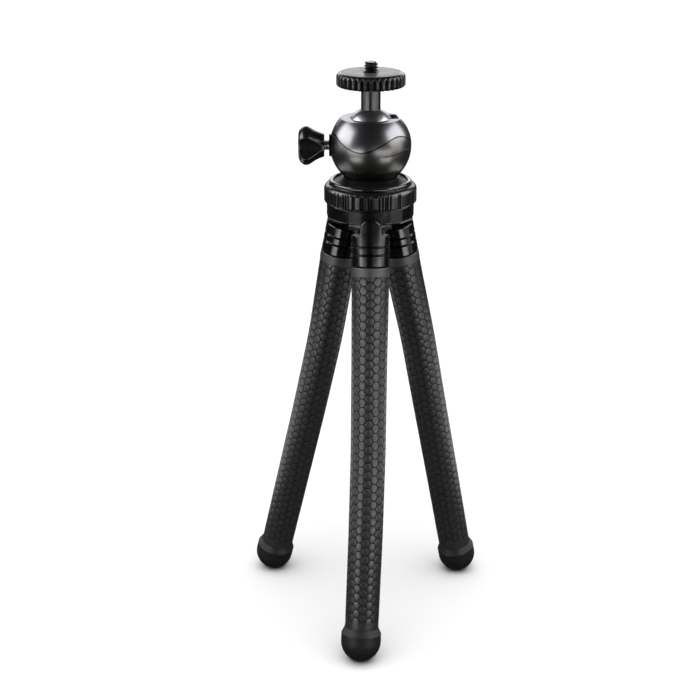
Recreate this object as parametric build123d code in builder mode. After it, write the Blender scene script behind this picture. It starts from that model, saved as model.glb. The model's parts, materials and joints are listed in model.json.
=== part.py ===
# Flexible leg tripod with a clamped ball head, in millimetres.
# Z is up and the floor is at zero. The origin is the middle of the footprint, and one leg points to -Y.
from build123d import *
import os
from math import cos, radians, sin, sqrt, tan

os.makedirs("parts", exist_ok=True)

# Clearances between pieces
running_clearance = 0.1  # shafts, threads and bushes
face_clearance = 0.05  # flat faces that slide on each other
ball_clearance = 0.15  # the ball in its housing
bend_clearance = 0.3  # the round ends of the leg segments
seat_clearance = 0.1  # pieces that are pushed in and fixed
overrun = 4.0  # how far a cut passes its wall
quarter_turn = 90  # degrees

# Camera screw and the stem that carries it
screw_radius = 3.175
screw_rise = 4.5
screw_root = 6.0
screw_lead_in = 0.7
screw_relief_radius = 2.75
screw_relief_height = 0.9  # under the face of the pad
stem_radius = 4.37
stem_length = 19.75  # from the centre of the ball

# Platform wheel, its threaded insert and its pad
platform_radius = 15.45
platform_height = 6.3
platform_gap = 0.2
platform_foot_radius = 14.0
platform_foot_chamfer = 1.0
platform_crown_radius = 13.6
platform_crown_height = 1.65
platform_flutes = 34
flute_radius = 1.0
flute_depth = 0.6
pad_radius = 13.0
pad_thickness = 1.2
pad_proud = 0.05
insert_radius = 5.0
insert_flange_radius = 6.2
insert_flange_thickness = 0.8

# Ball and the housing round it
ball_radius = 10.8
ball_flat_margin = 0.38  # flat of the ball beyond the stem
stem_socket_depth = 7.5
housing_wall = 7.45  # around the ball's cavity
housing_foot_share = 0.6793  # radius of the foot, by the housing's
ball_rise_share = 0.3587  # centre of the ball over the centre of the housing, by its radius
mouth_share = 0.6739  # top face of the housing over its centre, by its radius
slot_clearance = 0.4
slot_azimuth = 12
ball_seat_share = 0.963  # radius of the seat, by the ball's
ball_seat_thickness = 1.5
ball_seat_drop_share = 0.6389  # rim of the seat under the centre of the ball, by its radius

# Wavy joint between the two halves of the housing
parting_drop_share = 0.3148  # mean height under the centre of the ball, by its radius
parting_wave_share = 0.287
parting_waves = 3
parting_crest_azimuth = -45
parting_gap = 0.3
parting_points_per_wave = 12

# Ball clamp: boss, threaded insert, brake shoe, screw and knob
clamp_drop_share = 0.6204  # clamp axis under the centre of the ball, by its radius
boss_radius = 5.0
boss_proud = 0.3
shoe_radius = 3.2
shoe_backlash = 1.73  # shoe to the threaded insert behind it
shoe_chamfer = 0.4
clamp_screw_radius = 2.4
clamp_insert_radius = 3.4
clamp_insert_length = 4.0
knob_gap = 2.5
knob_length = 11.6
knob_neck_radius = 5.1
knob_shoulder_radius = 7.2
knob_shoulder_place = 4.6  # from the neck end
knob_lobe_radius = 8.9
knob_lobe_place = 7.9  # widest section, from the neck end
knob_end_radius = 4.8
knob_lobes = 3
knob_valley_radius = 6.4
knob_valley_floor = 5.3
knob_edge_fillet = 0.8
knob_screw_depth = 7.0
knob_cap_radius = 3.5
knob_cap_depth = 1.4
knob_cap_recess = 0.3

# Flange under the housing, with the spigot that turns in the hub
flange_height = 2.6
flange_proud = 0.3  # beyond the housing
flange_rim_height = 1.1
flange_rim_fillet = 0.3
flange_gap = 0.4
spigot_radius = 9.5
flange_screw_radius = 1.1
flange_screw_head_radius = 2.0
flange_screw_head_height = 1.2
flange_screw_reach = 6.2
flange_screw_bite = 3.6
flange_screws_count = 3

# Lock ring, the washer it lifts and the collar it runs on
washer_width = 2.5
collar_wall = 4.2
ring_proud = 2.4  # beyond the flange
ring_height = 7.9
ring_shoulder_width = 2.2
ring_shoulder_height = 1.1
ring_skirt_height = 1.7
ring_skirt_clearance = 0.15
ring_foot_chamfer = 0.4
ring_ribs = 36
rib_groove_radius = 0.85
rib_groove_depth = 0.5
ring_lift_travel = 0.75
washer_thickness = 0.9
washer_groove_wall = 1.0
bush_flange_inset = 0.7
bush_flange_thickness = 0.7

# Hub
hub_underside_height = 199.5
hub_inset = 1.2  # inside the lock ring
hub_band_height = 6.25
hub_foot_fillet = 1.0
neck_inset = 0.6
neck_height = 1.6
hub_web_thickness = 2.0
hub_cavity_radius = 10.5
hub_cavity_height = 6.9
cover_radius = 11.6
cover_thickness = 1.5
cover_recess = 0.2
cover_dish_radius = 8.5
cover_dish_depth = 0.5
bolt_radius = 3.0
bolt_head_radius = 6.5
bolt_head_height = 2.8
bolt_hex_size = 2.5
bolt_hex_depth = 1.6
bolt_end_wall = 0.6

# Leg sockets
socket_tilt = 12.0
socket_inset = 6.7  # from the hub's edge to where the socket's axis crosses its shoulder
socket_shoulder_drop = 5.6
socket_length = 14.2
socket_radius = 8.65
socket_shoulder_fillet = 0.6
socket_mouth_chamfer = 0.5
socket_grooves_share = (0.366, 0.622)
socket_groove_width = 1.1
socket_groove_depth = 0.5
tongue_width = 9.8
tongue_top_rise = 3.0  # top of the arch over the underside of the hub
tongue_root_depth = 1.0
tongue_root_fillet = 1.4
socket_screw_radius = 1.25
socket_screw_head_radius = 1.9
socket_screw_head_height = 1.8
socket_screw_bite = 5.5
socket_screw_inset = 2.55

# Legs: the ferrule that turns in the socket, the smooth band, sleeves, wire cores and feet
ferrule_radius = 6.0
ferrule_insert = 10.5
ferrule_neck_radius = 7.4
band_radius = 8.8
band_height = 4.3
band_fillet = 0.4
segment_share = 0.2419  # of the fall from the first bend to the foot, along each leg
sleeve_radius = 8.65
sleeve_taper_shares = (1, 0.9503, 0.9387, 0.9249, 0.9075)  # at each bend, then at the foot
core_radius = 2.6
bend_limit_angle = 30
bend_spare_angle = 4
foot_radius = 9.3
foot_band_height = 4.0
foot_chamfer_height = 3.0

# Each leg's azimuth, then for each segment its lean outwards and its sideways drift, in degrees
legs = {
    "front": (-90, (12.5, 13.4, 14.0, 14.0), (-0.7, -0.6, -1.7, -2.5)),
    "right": (30, (14.2, 12.1, 12.4, 12.5), (0.7, 0.7, 0.8, 0.8)),
    "left": (150, (10.9, 14.0, 14.9, 15.3), (-1.0, -1.0, -1.1, -1.1)),
}

# Heights, from the hub up
band_top_z = hub_underside_height + hub_band_height
ring_gap = ring_lift_travel + running_clearance
ring_z = band_top_z + ring_gap
ring_top_z = ring_z + ring_height
ring_shelf_z = ring_z + ring_skirt_height
neck_top_z = band_top_z + neck_height
washer_z = ring_top_z + face_clearance
washer_top_z = washer_z + washer_thickness
flange_z = ring_top_z + flange_gap
flange_rim_top_z = flange_z + flange_rim_height
flange_top_z = flange_rim_top_z + flange_height
cavity_radius = ball_radius + ball_clearance
housing_radius = cavity_radius + housing_wall
housing_foot_radius = housing_foot_share * housing_radius
flange_radius = housing_radius + flange_proud
washer_outer_radius = flange_radius - washer_groove_wall
collar_radius = washer_outer_radius - washer_width
collar_bore_radius = collar_radius - collar_wall
bush_flange_radius = collar_radius - bush_flange_inset
ring_radius = flange_radius + ring_proud
ring_shoulder_radius = ring_radius - ring_shoulder_width
hub_radius = ring_radius - hub_inset
neck_radius = hub_radius - neck_inset
socket_reach = hub_radius - socket_inset
tongue_inner_reach = socket_reach
socket_screw_reach = hub_radius - socket_screw_inset
housing_z = flange_top_z + sqrt(housing_radius**2 - housing_foot_radius**2)
ball_rise = ball_rise_share * housing_radius
mouth_rise = mouth_share * housing_radius - ball_rise
ball_z = housing_z + ball_rise
mouth_z = ball_z + mouth_rise
ball_seat_radius = ball_seat_share * ball_radius
ball_seat_drop = ball_seat_drop_share * ball_radius
parting_drop = parting_drop_share * ball_radius
parting_wave = parting_wave_share * ball_radius
clamp_drop = clamp_drop_share * ball_radius
stem_top_z = ball_z + stem_length
platform_z = stem_top_z + platform_gap
platform_top_z = platform_z + platform_height
pad_top_z = platform_top_z + pad_proud
pad_z = pad_top_z - pad_thickness
screw_tip_z = pad_top_z + screw_rise
cavity_top_z = hub_underside_height + hub_cavity_height
web_top_z = cavity_top_z + hub_web_thickness
bush_top_z = flange_z
collar_top_z = bush_top_z - bush_flange_thickness
spigot_z = web_top_z + running_clearance
bolt_top_z = flange_top_z - bolt_end_wall


def outward(azimuth):
    """The level unit vector at an azimuth in degrees from +X."""
    return Vector(cos(radians(azimuth)), sin(radians(azimuth)), 0)


def leg_points(azimuth, leans, drifts):
    """A leg's bend points from its socket down, then the centre of its foot, about the hub's axis."""
    away = outward(azimuth)
    aside = outward(azimuth + quarter_turn)
    tilt = radians(socket_tilt)
    down_socket = away * sin(tilt) - Vector(0, 0, 1) * cos(tilt)
    shoulder = away * socket_reach + Vector(0, 0, hub_underside_height - socket_shoulder_drop)
    points = [shoulder + down_socket * (socket_length + bend_clearance + band_height)]
    segment_length = segment_share * (points[0].Z - foot_radius)
    for number, (lean, drift) in enumerate(zip(leans, drifts)):
        step = away * tan(radians(lean)) + aside * tan(radians(drift)) - Vector(0, 0, 1)
        last = number == len(leans) - 1
        fall = points[-1].Z - foot_radius if last else segment_length / step.length
        points.append(points[-1] + step * fall)
    return shoulder, down_socket, points


# The hub's axis stands where the footprint's middle falls on the origin
feet = [leg_points(*leg)[2][-1] for leg in legs.values()]
hub_x = -(min(foot.X for foot in feet) + max(foot.X for foot in feet)) / 2
hub_y = -(min(foot.Y for foot in feet) + max(foot.Y for foot in feet)) / 2
hub_place = Vector(hub_x, hub_y, 0)


def turning_plane(point, along, across=None):
    """The plane of a half outline: x is the radius, and y runs along the axis from the point."""
    if across is None:
        level = along.cross(Vector(0, 0, 1))
        across = level.normalized() if level.length > 0 else Vector(1, 0, 0)
    return Plane(origin=point, x_dir=across, z_dir=across.cross(along))


def at_height(height):
    """The level plane at a height, centred on the hub's axis."""
    return Plane(origin=hub_place + Vector(0, 0, height))


def sphere_radius_at(radius, offset):
    """The radius of a sphere's section at an offset from its centre."""
    return sqrt(radius**2 - offset**2)


up = Vector(0, 0, 1)
hub_profile = turning_plane(hub_place, up)
hub_axis = Axis(hub_place, up)
ball_place = hub_place + up * ball_z


# Camera screw
with BuildPart() as camera_screw:
    with BuildSketch(hub_profile):
        Polygon(
            (0, stem_top_z - screw_root),
            (screw_radius, stem_top_z - screw_root),
            (screw_radius, pad_top_z - screw_relief_height),
            (screw_relief_radius, pad_top_z - screw_relief_height),
            (screw_relief_radius, pad_top_z),
            (screw_radius, pad_top_z),
            (screw_radius, screw_tip_z - screw_lead_in),
            (screw_radius - screw_lead_in, screw_tip_z),
            (0, screw_tip_z),
            align=None,
        )
    revolve(axis=hub_axis)
camera_screw.part.label = "camera_screw"
export_step(camera_screw.part, "parts/camera_screw.step")


# Platform wheel with its fluted edge
insert_seat_radius = insert_radius + running_clearance
insert_flange_seat_radius = insert_flange_radius + running_clearance
insert_flange_seat_z = platform_z + insert_flange_thickness + running_clearance

with BuildPart() as platform_wheel:
    with BuildSketch(hub_profile):
        Polygon(
            (insert_flange_seat_radius, platform_z),
            (platform_foot_radius, platform_z),
            (platform_radius, platform_z + platform_foot_chamfer),
            (platform_radius, platform_top_z - platform_crown_height),
            (platform_crown_radius, platform_top_z),
            (pad_radius, platform_top_z),
            (pad_radius, pad_z),
            (insert_seat_radius, pad_z),
            (insert_seat_radius, insert_flange_seat_z),
            (insert_flange_seat_radius, insert_flange_seat_z),
            align=None,
        )
    revolve(axis=hub_axis)
    with BuildSketch(at_height(platform_z - overrun)):
        with PolarLocations(platform_radius + flute_radius - flute_depth, platform_flutes):
            Circle(flute_radius)
    extrude(amount=platform_height + 2 * overrun, mode=Mode.SUBTRACT)
platform_wheel.part.label = "platform_wheel"
export_step(platform_wheel.part, "parts/platform_wheel.step")


# Non-slip pad on the wheel
with BuildPart() as platform_pad:
    with BuildSketch(at_height(pad_z)):
        Circle(pad_radius)
        Circle(screw_radius + running_clearance, mode=Mode.SUBTRACT)
    extrude(amount=pad_thickness)
platform_pad.part.label = "platform_pad"
export_step(platform_pad.part, "parts/platform_pad.step")


# Threaded insert that carries the wheel along the camera screw
with BuildPart() as wheel_insert:
    with BuildSketch(at_height(platform_z)):
        Circle(insert_flange_radius)
    extrude(amount=insert_flange_thickness)
    with BuildSketch(at_height(platform_z)):
        Circle(insert_radius)
    extrude(amount=pad_z - face_clearance - platform_z)
    with BuildSketch(at_height(platform_z - overrun)):
        Circle(screw_radius + running_clearance)
    extrude(amount=platform_height + 2 * overrun, mode=Mode.SUBTRACT)
wheel_insert.part.label = "wheel_insert"
export_step(wheel_insert.part, "parts/wheel_insert.step")


# Stem
ball_flat_radius = stem_radius + ball_flat_margin
ball_flat_z = ball_z + sphere_radius_at(ball_radius, ball_flat_radius)
stem_foot_z = ball_flat_z - stem_socket_depth + running_clearance

with BuildPart() as stem:
    with BuildSketch(at_height(stem_foot_z)):
        Circle(stem_radius)
    extrude(amount=stem_top_z - stem_foot_z)
    with BuildSketch(at_height(stem_top_z)):
        Circle(screw_radius)
    extrude(amount=-screw_root, mode=Mode.SUBTRACT)
stem.part.label = "stem"
export_step(stem.part, "parts/stem.step")


# Ball, with a flat and a socket for the stem
stem_socket_radius = stem_radius + running_clearance
stem_socket_z = ball_flat_z - stem_socket_depth

with BuildPart() as ball:
    with BuildSketch(hub_profile):
        with BuildLine():
            Line((0, stem_socket_z), (stem_socket_radius, stem_socket_z))
            Line((stem_socket_radius, stem_socket_z), (stem_socket_radius, ball_flat_z))
            Line((stem_socket_radius, ball_flat_z), (ball_flat_radius, ball_flat_z))
            ThreePointArc((ball_flat_radius, ball_flat_z), (ball_radius, ball_z), (0, ball_z - ball_radius))
            Line((0, ball_z - ball_radius), (0, stem_socket_z))
        make_face()
    revolve(axis=hub_axis)
ball.part.label = "ball"
export_step(ball.part, "parts/ball.step")


# The wavy surface that parts the housing, as a ruled face round the hub's axis
def parting_face(lift):
    """The parting surface, lifted by a gap, from inside the cavity to beyond the housing."""
    count = parting_waves * parting_points_per_wave
    rims = []
    for radius in (sphere_radius_at(ball_radius, ball_seat_drop) - overrun, housing_radius + overrun):
        points = []
        for number in range(count):
            azimuth = 360 * number / count
            wave = parting_wave * cos(radians(parting_waves * (azimuth - parting_crest_azimuth)))
            height = ball_z - parting_drop + wave + lift
            points.append(hub_place + outward(azimuth) * radius + up * height)
        rims.append(Edge.make_spline(points, periodic=True))
    return Face.make_surface_from_curves(rims[0], rims[1])


seat_rim_z = ball_z - ball_seat_drop
cavity_rim_radius = sphere_radius_at(cavity_radius, ball_seat_drop)
mouth_radius = sphere_radius_at(cavity_radius, mouth_rise)
housing_top_radius = sphere_radius_at(housing_radius, mouth_z - housing_z)
upper_foot_radius = sphere_radius_at(housing_radius, seat_rim_z - housing_z)
parting_reach = 2 * housing_radius
clamp_z = ball_z - clamp_drop
clamp_place = hub_place + up * clamp_z
outboard = Vector(-1, 0, 0)
clamp_profile = turning_plane(clamp_place, outboard)
clamp_axis = Axis(clamp_place, outboard)
clamp_seat_radius = clamp_insert_radius
insert_inner_reach = housing_radius - clamp_insert_length
shoe_reach = insert_inner_reach - shoe_backlash
shoe_bore_radius = shoe_radius + running_clearance


# Upper half of the housing: the ball's mouth and the slot that the stem drops into
with BuildPart() as upper_shell:
    with BuildSketch(hub_profile):
        with BuildLine():
            Line((cavity_rim_radius, seat_rim_z), (upper_foot_radius, seat_rim_z))
            RadiusArc((upper_foot_radius, seat_rim_z), (housing_top_radius, mouth_z), -housing_radius)
            Line((housing_top_radius, mouth_z), (mouth_radius, mouth_z))
            RadiusArc((mouth_radius, mouth_z), (cavity_rim_radius, seat_rim_z), cavity_radius)
        make_face()
    revolve(axis=hub_axis)
    extrude(parting_face(parting_gap), amount=parting_reach, dir=(0, 0, -1), mode=Mode.SUBTRACT)
    slot_plane = Plane(origin=ball_place, x_dir=outward(slot_azimuth + quarter_turn), z_dir=outward(slot_azimuth))
    with BuildSketch(slot_plane):
        Circle(stem_radius + slot_clearance)
        with Locations((0, mouth_rise)):
            Rectangle(2 * (stem_radius + slot_clearance), 2 * mouth_rise)
    extrude(amount=housing_radius + overrun, mode=Mode.SUBTRACT)
    with BuildSketch(Plane(origin=clamp_place, z_dir=outboard)):
        Circle(boss_radius + parting_gap)
    extrude(amount=housing_radius + overrun, mode=Mode.SUBTRACT)
upper_shell.part.label = "upper_shell"
export_step(upper_shell.part, "parts/upper_shell.step")


# Lower half of the housing: seat pocket, clamp boss and bore
lower_top_radius = sphere_radius_at(housing_radius, ball_rise)
seat_floor_z = ball_z - ball_radius - running_clearance - ball_seat_thickness

with BuildPart() as lower_shell:
    with BuildSketch(hub_profile):
        with BuildLine():
            Line((0, flange_top_z), (housing_foot_radius, flange_top_z))
            RadiusArc((housing_foot_radius, flange_top_z), (lower_top_radius, ball_z), -housing_radius)
            Line((lower_top_radius, ball_z), (cavity_radius, ball_z))
            RadiusArc((cavity_radius, ball_z), (cavity_rim_radius, seat_rim_z), cavity_radius)
            Line((cavity_rim_radius, seat_rim_z), (ball_seat_radius, seat_rim_z))
            Line((ball_seat_radius, seat_rim_z), (ball_seat_radius, seat_floor_z))
            Line((ball_seat_radius, seat_floor_z), (0, seat_floor_z))
            Line((0, seat_floor_z), (0, flange_top_z))
        make_face()
    revolve(axis=hub_axis)
    with BuildSketch(Plane(origin=clamp_place + outboard * shoe_reach, z_dir=outboard)):
        Circle(boss_radius)
    extrude(amount=housing_radius + boss_proud - shoe_reach)
    extrude(parting_face(0), amount=parting_reach, dir=(0, 0, 1), mode=Mode.SUBTRACT)
    with BuildSketch(Plane(origin=clamp_place + outboard * insert_inner_reach, z_dir=-outboard)):
        Circle(shoe_bore_radius)
    extrude(amount=insert_inner_reach, mode=Mode.SUBTRACT)
    with BuildSketch(Plane(origin=clamp_place + outboard * insert_inner_reach, z_dir=outboard)):
        Circle(clamp_seat_radius)
    extrude(amount=clamp_insert_length + overrun, mode=Mode.SUBTRACT)
    with BuildSketch(at_height(flange_top_z)):
        with PolarLocations(flange_screw_reach, flange_screws_count):
            Circle(flange_screw_radius)
    extrude(amount=flange_screw_bite, mode=Mode.SUBTRACT)
lower_shell.part.label = "lower_shell"
export_step(lower_shell.part, "parts/lower_shell.step")


# Moulded cup under the ball, open beside the brake shoe
with BuildPart() as ball_seat:
    with BuildSketch(at_height(seat_floor_z)):
        Circle(ball_seat_radius)
    extrude(amount=seat_rim_z - seat_floor_z)
    with Locations(ball_place):
        Sphere(ball_radius + running_clearance, mode=Mode.SUBTRACT)
    with BuildSketch(Plane(origin=clamp_place, z_dir=outboard)):
        Circle(shoe_bore_radius)
    extrude(amount=housing_radius, mode=Mode.SUBTRACT)
ball_seat.part.label = "ball_seat"
export_step(ball_seat.part, "parts/ball_seat.step")


# Brake shoe, hollowed to the ball
with BuildPart() as brake_shoe:
    with BuildSketch(Plane(origin=clamp_place, z_dir=outboard)):
        Circle(shoe_radius)
    extrude(amount=shoe_reach)
    chamfer(brake_shoe.faces().sort_by(Axis.X)[0].edges(), shoe_chamfer)
    with Locations(ball_place):
        Sphere(ball_radius + running_clearance, mode=Mode.SUBTRACT)
brake_shoe.part.label = "brake_shoe"
export_step(brake_shoe.part, "parts/brake_shoe.step")


# Threaded insert in the boss
with BuildPart() as clamp_insert:
    with BuildSketch(Plane(origin=clamp_place + outboard * insert_inner_reach, z_dir=outboard)):
        Circle(clamp_seat_radius)
        Circle(clamp_screw_radius + running_clearance, mode=Mode.SUBTRACT)
    extrude(amount=clamp_insert_length)
clamp_insert.part.label = "clamp_insert"
export_step(clamp_insert.part, "parts/clamp_insert.step")


# Clamp screw, from the shoe to inside the knob
knob_reach = housing_radius + knob_gap
knob_end_reach = knob_reach + knob_length
screw_inner_reach = shoe_reach + face_clearance
screw_outer_reach = knob_reach + knob_screw_depth

with BuildPart() as clamp_screw:
    with BuildSketch(Plane(origin=clamp_place + outboard * screw_inner_reach, z_dir=outboard)):
        Circle(clamp_screw_radius)
    extrude(amount=screw_outer_reach - screw_inner_reach)
clamp_screw.part.label = "clamp_screw"
export_step(clamp_screw.part, "parts/clamp_screw.step")


# Three-lobed knob: a turned body with a valley scooped out between lobes
knob_cap_reach = knob_end_reach - knob_cap_recess - knob_cap_depth

with BuildPart() as clamp_knob:
    with BuildSketch(clamp_profile):
        with BuildLine():
            Line((0, knob_reach), (knob_neck_radius, knob_reach))
            Spline(
                (knob_neck_radius, knob_reach),
                (knob_shoulder_radius, knob_reach + knob_shoulder_place),
                (knob_lobe_radius, knob_reach + knob_lobe_place),
                (knob_end_radius, knob_end_reach),
                tangents=((1, 3), (-1, 0)),
            )
            Line((knob_end_radius, knob_end_reach), (0, knob_end_reach))
            Line((0, knob_end_reach), (0, knob_reach))
        make_face()
    revolve(axis=clamp_axis)
    with BuildSketch(Plane(origin=clamp_place + outboard * knob_reach, x_dir=(0, 1, 0), z_dir=outboard)):
        with PolarLocations(knob_valley_floor + knob_valley_radius, knob_lobes, start_angle=180):
            Circle(knob_valley_radius)
    extrude(amount=knob_length, mode=Mode.SUBTRACT)
    lobe_edges = [edge for edge in clamp_knob.edges() if edge.geom_type not in (GeomType.LINE, GeomType.CIRCLE)]
    fillet(lobe_edges, knob_edge_fillet)
    with BuildSketch(Plane(origin=clamp_place + outboard * knob_reach, z_dir=outboard)):
        Circle(clamp_screw_radius)
    extrude(amount=knob_screw_depth, mode=Mode.SUBTRACT)
    with BuildSketch(Plane(origin=clamp_place + outboard * knob_cap_reach, z_dir=outboard)):
        Circle(knob_cap_radius)
    extrude(amount=knob_length, mode=Mode.SUBTRACT)
clamp_knob.part.label = "clamp_knob"
export_step(clamp_knob.part, "parts/clamp_knob.step")


# Cap in the end of the knob
with BuildPart() as knob_cap:
    with BuildSketch(Plane(origin=clamp_place + outboard * knob_cap_reach, z_dir=outboard)):
        Circle(knob_cap_radius)
    extrude(amount=knob_cap_depth)
    fillet(knob_cap.faces().sort_by(Axis.X)[0].edges(), knob_cap_recess)
knob_cap.part.label = "knob_cap"
export_step(knob_cap.part, "parts/knob_cap.step")


# Flange under the housing, with its spigot and a groove for the washer
washer_inner_radius = collar_radius + seat_clearance
washer_groove_inner_radius = washer_inner_radius - seat_clearance
washer_groove_outer_radius = washer_outer_radius + seat_clearance
flange_seat_z = bush_top_z + face_clearance
screw_head_seat_z = flange_seat_z + flange_screw_head_height

with BuildPart() as base_flange:
    with BuildSketch(hub_profile):
        Polygon(
            (bolt_radius, spigot_z),
            (spigot_radius, spigot_z),
            (spigot_radius, flange_seat_z),
            (washer_groove_inner_radius, flange_seat_z),
            (washer_groove_inner_radius, washer_top_z + running_clearance),
            (washer_groove_outer_radius, washer_top_z + running_clearance),
            (washer_groove_outer_radius, flange_z),
            (flange_radius, flange_z),
            (flange_radius, flange_rim_top_z),
            (housing_foot_radius, flange_top_z),
            (0, flange_top_z),
            (0, bolt_top_z),
            (bolt_radius, bolt_top_z),
            align=None,
        )
    revolve(axis=hub_axis)
    rims = base_flange.edges().filter_by(GeomType.CIRCLE)
    fillet([rim for rim in rims if abs(rim.radius - flange_radius) < flange_rim_fillet], flange_rim_fillet)
    with BuildSketch(at_height(spigot_z)):
        with PolarLocations(flange_screw_reach, flange_screws_count):
            Circle(flange_screw_head_radius)
    extrude(amount=screw_head_seat_z - spigot_z, mode=Mode.SUBTRACT)
    with BuildSketch(at_height(spigot_z)):
        with PolarLocations(flange_screw_reach, flange_screws_count):
            Circle(flange_screw_radius)
    extrude(amount=flange_top_z - spigot_z + overrun, mode=Mode.SUBTRACT)
base_flange.part.label = "base_flange"
export_step(base_flange.part, "parts/base_flange.step")


# Screws that hold the flange to the housing
with BuildPart() as flange_screws:
    with BuildSketch(at_height(screw_head_seat_z - flange_screw_head_height)):
        with PolarLocations(flange_screw_reach, flange_screws_count):
            Circle(flange_screw_head_radius)
    extrude(amount=flange_screw_head_height)
    with BuildSketch(at_height(screw_head_seat_z)):
        with PolarLocations(flange_screw_reach, flange_screws_count):
            Circle(flange_screw_radius)
    extrude(amount=flange_top_z + flange_screw_bite - screw_head_seat_z)
flange_screws.part.label = "flange_screws"
export_step(flange_screws.part, "parts/flange_screws.step")


# Flanged bush that the spigot turns in
with BuildPart() as pan_bush:
    with BuildSketch(at_height(collar_top_z)):
        Circle(bush_flange_radius)
    extrude(amount=bush_flange_thickness)
    with BuildSketch(at_height(web_top_z)):
        Circle(collar_bore_radius)
    extrude(amount=bush_top_z - web_top_z)
    with BuildSketch(at_height(web_top_z)):
        Circle(spigot_radius + running_clearance)
    extrude(amount=bush_top_z - web_top_z + overrun, mode=Mode.SUBTRACT)
pan_bush.part.label = "pan_bush"
export_step(pan_bush.part, "parts/pan_bush.step")


# Bolt that holds the head to the hub, with a hexagon recess
bolt_head_top_z = cavity_top_z - running_clearance
bolt_head_z = bolt_head_top_z - bolt_head_height

with BuildPart() as pan_bolt:
    with BuildSketch(at_height(bolt_head_z)):
        Circle(bolt_head_radius)
    extrude(amount=bolt_head_height)
    with BuildSketch(at_height(bolt_head_top_z)):
        Circle(bolt_radius)
    extrude(amount=bolt_top_z - bolt_head_top_z)
    with BuildSketch(at_height(bolt_head_z)):
        RegularPolygon(bolt_hex_size, 6)
    extrude(amount=bolt_hex_depth, mode=Mode.SUBTRACT)
pan_bolt.part.label = "pan_bolt"
export_step(pan_bolt.part, "parts/pan_bolt.step")


# Washer that the lock ring lifts against the flange
with BuildPart() as pressure_washer:
    with BuildSketch(at_height(washer_z)):
        Circle(washer_outer_radius)
        Circle(washer_inner_radius, mode=Mode.SUBTRACT)
    extrude(amount=washer_thickness)
pressure_washer.part.label = "pressure_washer"
export_step(pressure_washer.part, "parts/pressure_washer.step")


# Ribbed lock ring
ring_bore_radius = collar_radius + running_clearance
ring_skirt_radius = neck_radius + ring_skirt_clearance
ring_shoulder_z = ring_top_z - ring_shoulder_height

with BuildPart() as lock_ring:
    with BuildSketch(hub_profile):
        with BuildLine():
            Polyline(
                (ring_shoulder_radius, ring_top_z),
                (ring_bore_radius, ring_top_z),
                (ring_bore_radius, ring_shelf_z),
                (ring_skirt_radius, ring_shelf_z),
                (ring_skirt_radius, ring_z),
                (ring_radius - ring_foot_chamfer, ring_z),
                (ring_radius, ring_z + ring_foot_chamfer),
                (ring_radius, ring_shoulder_z),
            )
            TangentArc((ring_radius, ring_shoulder_z), (ring_shoulder_radius, ring_top_z), tangent=(0, 1))
        make_face()
    revolve(axis=hub_axis)
    with BuildSketch(at_height(ring_z - overrun)):
        with PolarLocations(ring_radius + rib_groove_radius - rib_groove_depth, ring_ribs):
            Circle(rib_groove_radius)
    extrude(amount=ring_shoulder_z - ring_z + overrun, mode=Mode.SUBTRACT)
lock_ring.part.label = "lock_ring"
export_step(lock_ring.part, "parts/lock_ring.step")


# The arched outline that a socket's tongue and its notch in the hub share
tongue_arch_z = hub_underside_height + tongue_top_rise - tongue_width / 2


def tongue_plane(azimuth, reach):
    """The upright plane across a tongue, at a reach from the hub's axis and the height of its arch."""
    place = hub_place + outward(azimuth) * reach + up * tongue_arch_z
    return Plane(origin=place, x_dir=outward(azimuth + quarter_turn), z_dir=outward(azimuth))


# Hub body: the band, the threaded collar, the web that the bolt pulls on and three arched notches
screw_head_z = neck_top_z - socket_screw_head_height

with BuildPart() as hub_body:
    with BuildSketch(hub_profile):
        Polygon(
            (cover_radius, hub_underside_height),
            (hub_radius, hub_underside_height),
            (hub_radius, band_top_z),
            (neck_radius, band_top_z),
            (neck_radius, neck_top_z),
            (collar_radius, neck_top_z),
            (collar_radius, collar_top_z),
            (collar_bore_radius, collar_top_z),
            (collar_bore_radius, web_top_z),
            (bolt_radius + running_clearance, web_top_z),
            (bolt_radius + running_clearance, cavity_top_z),
            (hub_cavity_radius, cavity_top_z),
            (hub_cavity_radius, hub_underside_height + cover_recess + cover_thickness),
            (cover_radius, hub_underside_height + cover_recess + cover_thickness),
            align=None,
        )
    revolve(axis=hub_axis)
    rims = hub_body.edges().filter_by(GeomType.CIRCLE)
    outer_rims = ShapeList(rim for rim in rims if rim.radius > neck_radius)
    fillet(outer_rims.sort_by(Axis.Z)[0], hub_foot_fillet)
    for azimuth, leans, drifts in legs.values():
        with BuildSketch(tongue_plane(azimuth, tongue_inner_reach - seat_clearance)):
            Circle(tongue_width / 2 + seat_clearance)
            with Locations((0, -overrun)):
                Rectangle(tongue_width + 2 * seat_clearance, 2 * overrun)
        extrude(amount=hub_radius, mode=Mode.SUBTRACT)
        screw_place = hub_place + outward(azimuth) * socket_screw_reach
        with BuildSketch(Plane(origin=screw_place + up * screw_head_z)):
            Circle(socket_screw_head_radius)
        extrude(amount=socket_screw_head_height + overrun, mode=Mode.SUBTRACT)
        with BuildSketch(Plane(origin=screw_place + up * hub_underside_height)):
            Circle(socket_screw_radius)
        extrude(amount=hub_band_height + neck_height, mode=Mode.SUBTRACT)
hub_body.part.label = "hub_body"
export_step(hub_body.part, "parts/hub_body.step")


# Cover that closes the hub from below
with BuildPart() as hub_cover:
    with BuildSketch(at_height(hub_underside_height + cover_recess)):
        Circle(cover_radius)
    extrude(amount=cover_thickness)
    with BuildSketch(at_height(hub_underside_height + cover_recess)):
        Circle(cover_dish_radius)
    extrude(amount=cover_dish_depth, mode=Mode.SUBTRACT)
hub_cover.part.label = "hub_cover"
export_step(hub_cover.part, "parts/hub_cover.step")


# Screws that pull the sockets up into the hub
tongue_top_z = hub_underside_height + tongue_top_rise

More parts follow.
